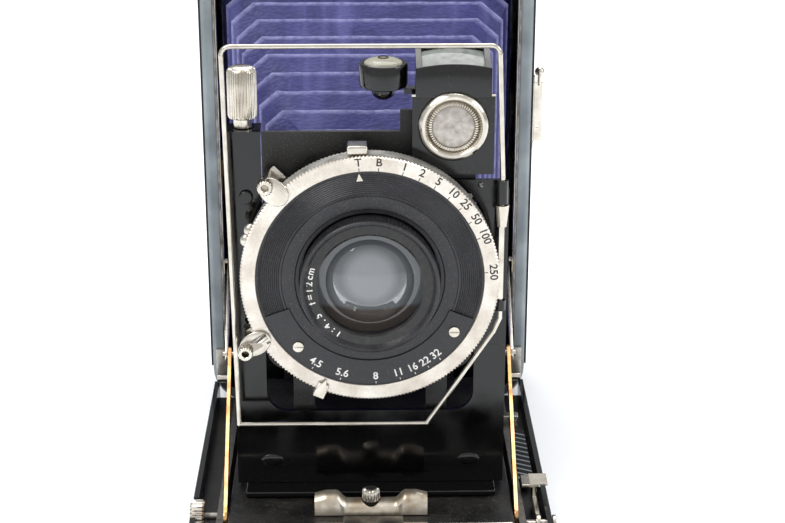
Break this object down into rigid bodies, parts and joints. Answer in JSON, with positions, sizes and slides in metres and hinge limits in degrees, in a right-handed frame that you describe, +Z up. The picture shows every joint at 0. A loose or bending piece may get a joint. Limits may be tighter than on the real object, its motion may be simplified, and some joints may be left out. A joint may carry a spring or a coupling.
{
  "type": "folding plate camera",
  "caption": "Folding-bed plate camera, open, with purple leather bellows, a rim-set leaf shutter, a turning reflex finder and a wire frame finder.",
  "frame": {"origin": "mouth of the tripod socket, in the middle of the body's underside", "axes": "+Z up, -Y the way the lens looks, +X to the right as the lens is faced"},
  "size_m": [0.1115, 0.1836, 0.154],
  "materials": {
    "black_enamel": "gloss",
    "black_leather": "grained",
    "nickel": "polished",
    "worn_nickel": "satin",
    "brass_arm": "brushed",
    "blackened_brass": "satin",
    "purple_bellows": "matt",
    "brass": "machined",
    "ground_glass": "ground",
    "matt_black": "matt",
    "satin_black": "satin",
    "lens_glass": "polished",
    "blued_steel": "satin",
    "finder_glass": "polished",
    "nickel_face": "satin"
  },
  "bodies": {
    "body": {"body_side_walls": "black_enamel", "body_end_walls": "black_enamel", "body_front_rim": "black_enamel", "body_back_frame": "black_enamel", "leather_covering": "black_leather", "front_bezel": "nickel", "bed_plate": "black_enamel", "bed_rails": "worn_nickel", "bed_hinge": "nickel", "strut_fittings": "nickel", "strut_upper_links": "nickel", "strut_lower_arms": "brass_arm", "distance_scale": "blackened_brass", "bellows_rear": "purple_bellows", "tripod_bushes": "brass", "peep_sight_bracket": "nickel", "back_rails": "nickel", "ground_glass_frame": "black_enamel", "ground_glass": "ground_glass"},
    "hood": {"hood_cover": "black_leather"},
    "peep": {"peep_sight": "nickel"},
    "bed_button": {"bed_release_button": "black_leather"},
    "carriage": {"focus_carriage": "matt_black", "focus_rack": "brass", "distance_pointer": "nickel", "bellows_front": "purple_bellows"},
    "focus_wheel": {"focus_knob": "nickel", "pinion_shaft": "worn_nickel"},
    "focus_lock": {"focus_lock_lever": "nickel"},
    "standard": {"standard_base": "black_enamel", "standard_frame": "black_enamel", "pull_handle": "nickel", "bellows_front_frame": "matt_black", "rise_lock_stud": "black_enamel"},
    "lock_press": {"lock_button": "nickel"},
    "rise_drive": {"rise_knob": "nickel", "rise_screw": "worn_nickel"},
    "board": {"lens_board": "matt_black", "shutter_case": "black_enamel", "knurled_rim": "worn_nickel", "face_plate": "satin_black", "aperture_scale_plate": "satin_black", "scale_screws": "nickel", "rim_clamp": "nickel", "lens_barrel": "satin_black", "retaining_ring": "satin_black", "lens_elements": "lens_glass", "rear_cell": "satin_black", "iris_blades": "blued_steel", "shutter_blades": "blued_steel", "wire_bracket": "black_enamel"},
    "wire": {"wire_finder": "nickel"},
    "finder": {"finder_body": "black_enamel", "finder_bezel": "nickel", "finder_glass": "finder_glass", "level_cup": "black_enamel"},
    "speed": {"speed_ring": "nickel_face"},
    "aperture": {"aperture_lever": "nickel"},
    "cocking": {"cocking_lever": "nickel"},
    "release": {"release_lever": "nickel"}
  },
  "joints": [
    {"name": "focus_slide", "type": "slide", "parent": "body", "child": "carriage", "axis": [0, 1, 0], "range_m": [0, 0.012], "deforming": ["bellows_rear"]},
    {"name": "focus_knob_turn", "type": "hinge", "parent": "body", "child": "focus_wheel", "pos_m": [-0.05, -0.104, 0.00505], "axis": [1, 0, 0], "range_deg": [-276, 0]},
    {"name": "focus_lock_turn", "type": "hinge", "parent": "body", "child": "focus_lock", "pos_m": [0.048, -0.11, 0.0052], "axis": [1, 0, 0], "range_deg": [0, 20]},
    {"name": "standard_slide", "type": "slide", "parent": "carriage", "child": "standard", "axis": [0, 1, 0], "range_m": [0, 0.083], "deforming": ["bellows_front"]},
    {"name": "lock_button_press", "type": "slide", "parent": "standard", "child": "lock_press", "axis": [0, 0, -1], "range_m": [0, 0.001], "stiffness_N_per_m": 300},
    {"name": "board_rise", "type": "slide", "parent": "standard", "child": "board", "axis": [0, 0, -1], "range_m": [-0.005, 0.01]},
    {"name": "rise_knob_turn", "type": "hinge", "parent": "standard", "child": "rise_drive", "pos_m": [-0.0345, -0.0935, 0.125], "axis": [0, 0, 1], "range_deg": [-361, 721]},
    {"name": "wire_swing", "type": "hinge", "parent": "board", "child": "wire", "pos_m": [0.036, -0.1069, 0.1], "axis": [0, 0, -1], "range_deg": [-180, 0]},
    {"name": "finder_turn", "type": "hinge", "parent": "board", "child": "finder", "pos_m": [0.026, -0.1, 0.115], "axis": [0, -1, 0], "range_deg": [-90, 0]},
    {"name": "speed_ring_turn", "type": "hinge", "parent": "board", "child": "speed", "pos_m": [0, -0.111, 0.081], "axis": [0, -1, 0], "range_deg": [0, 105]},
    {"name": "aperture_lever_turn", "type": "hinge", "parent": "board", "child": "aperture", "pos_m": [0, -0.105, 0.081], "axis": [0, -1, 0], "range_deg": [-5, 58]},
    {"name": "cocking_lever_turn", "type": "hinge", "parent": "board", "child": "cocking", "pos_m": [0, -0.105, 0.081], "axis": [0, 1, 0], "range_deg": [0, 25], "stiffness_Nm_per_rad": 0.08},
    {"name": "release_lever_turn", "type": "hinge", "parent": "board", "child": "release", "pos_m": [0, -0.105, 0.081], "axis": [0, -1, 0], "range_deg": [0, 12], "stiffness_Nm_per_rad": 0.08},
    {"name": "peep_sight_swing", "type": "hinge", "parent": "body", "child": "peep", "pos_m": [0.0544, 0.005, 0.096], "axis": [0, 0, 1], "range_deg": [0, 80]},
    {"name": "hood_cover_lift", "type": "hinge", "parent": "body", "child": "hood", "pos_m": [0, 0.0205, 0.1375], "axis": [1, 0, 0], "range_deg": [0, 110]},
    {"name": "bed_button_press", "type": "slide", "parent": "body", "child": "bed_button", "axis": [0, 0, -1], "range_m": [0, 0.0015], "stiffness_N_per_m": 400}
  ],
  "couplings": [
    {"joint": "focus_knob_turn", "follows": "focus_slide", "rad_per_m": -400},
    {"joint": "rise_knob_turn", "follows": "board_rise", "rad_per_m": 1256.6}
  ]
}
